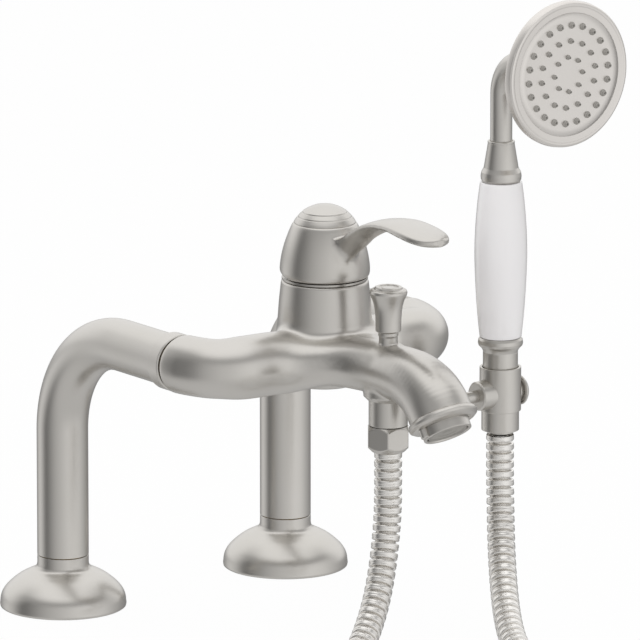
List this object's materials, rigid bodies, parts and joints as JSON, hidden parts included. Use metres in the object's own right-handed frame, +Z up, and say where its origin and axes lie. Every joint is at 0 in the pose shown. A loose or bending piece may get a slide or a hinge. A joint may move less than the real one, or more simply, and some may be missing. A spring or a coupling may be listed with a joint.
{
  "type": "bath shower mixer",
  "caption": "Deck-mounted bath shower mixer on two swan legs, with a lever handle, pull-up diverter, down-turned spout, and a porcelain-handled handset on a ribbed hose.",
  "frame": {"origin": "on the deck, midway between the two pillar axes, at the underside of the flanges", "axes": "+Z up, -Y towards the bather along the spout, X along the pair of pillars"},
  "size_m": [0.2238, 0.5804, 0.3573],
  "materials": {
    "satin_nickel": "satin nickel plate, finely brushed",
    "hose_metal": "bright satin spiral-wound metal",
    "porcelain": "white glazed porcelain",
    "brass": "bare machined brass",
    "black_rubber": "matte",
    "grey_rubber": "matte silicone",
    "white_plastic": "moulded acetal",
    "ceramic": "lapped ceramic",
    "steel": "bright stainless steel"
  },
  "bodies": {
    "mixer": {"mixer_body": "satin_nickel", "left_leg": "satin_nickel", "right_leg": "satin_nickel", "left_coupling_ring": "satin_nickel", "right_coupling_ring": "satin_nickel", "left_union_tail": "brass", "right_union_tail": "brass", "coupling_seals": "black_rubber", "left_check_valve": "white_plastic", "right_check_valve": "white_plastic", "left_flange": "satin_nickel", "right_flange": "satin_nickel", "left_inlet_union": "brass", "right_inlet_union": "brass", "inlet_strainers": "steel", "deck_seals": "black_rubber", "cartridge_body": "white_plastic", "cartridge_seals": "black_rubber", "fixed_disc": "ceramic", "cartridge_nut": "brass", "cover_ring": "steel", "diverter_bush": "satin_nickel", "diverter_spring": "steel", "shower_outlet": "satin_nickel", "hose_nut": "satin_nickel", "outlet_washer": "black_rubber", "aerator_collar": "satin_nickel", "aerator_housing": "satin_nickel", "aerator_insert": "grey_rubber", "aerator_washer": "black_rubber", "cradle_bar": "satin_nickel", "hose_outlet_run": "hose_metal", "hose_coil": "hose_metal", "hose_handset_run": "hose_metal"},
    "temperature": {"moving_disc": "ceramic", "cartridge_stem": "white_plastic"},
    "lever": {"lever_handle": "satin_nickel", "lever_stem": "brass", "lever_screw": "steel", "index_cap": "satin_nickel"},
    "diverter": {"diverter_knob": "satin_nickel", "diverter_spindle": "brass", "diverter_seal": "black_rubber"},
    "cradle": {"cradle_sleeve": "satin_nickel", "cradle_cap": "satin_nickel", "cradle_washer": "black_rubber"},
    "hose_end": {"handset_hose_nut": "satin_nickel", "handset_washer": "black_rubber"},
    "handset": {"lower_ferrule": "satin_nickel", "porcelain_handle": "porcelain", "tie_tube": "brass", "upper_ferrule": "satin_nickel", "neck_tube": "satin_nickel", "head_shell": "satin_nickel", "face_plate": "satin_nickel", "nozzle_mat": "grey_rubber"}
  },
  "joints": [
    {"name": "temperature_turn", "type": "hinge", "parent": "mixer", "child": "temperature", "pos_m": [0, -0.1375, 0.172], "axis": [0, 0, 1], "range_deg": [-45, 28]},
    {"name": "lever_lift", "type": "hinge", "parent": "temperature", "child": "lever", "pos_m": [0, -0.1375, 0.1955], "axis": [-1, 0, 0], "range_deg": [0, 12]},
    {"name": "diverter_pull", "type": "slide", "parent": "mixer", "child": "diverter", "axis": [0, 0, 1], "range_m": [0, 0.008], "deforming": ["diverter_spring"]},
    {"name": "cradle_tilt", "type": "hinge", "parent": "mixer", "child": "cradle", "pos_m": [0.065, -0.194, 0.1346], "axis": [1, 0, 0], "range_deg": [-20, 20]},
    {"name": "handset_lift", "type": "slide", "parent": "cradle", "child": "hose_end", "axis": [0, 0, 1], "range_m": [0, 0.045]},
    {"name": "handset_turn", "type": "hinge", "parent": "hose_end", "child": "handset", "pos_m": [0.075, -0.194, 0.15], "axis": [0, 0, 1], "continuous": true}
  ]
}
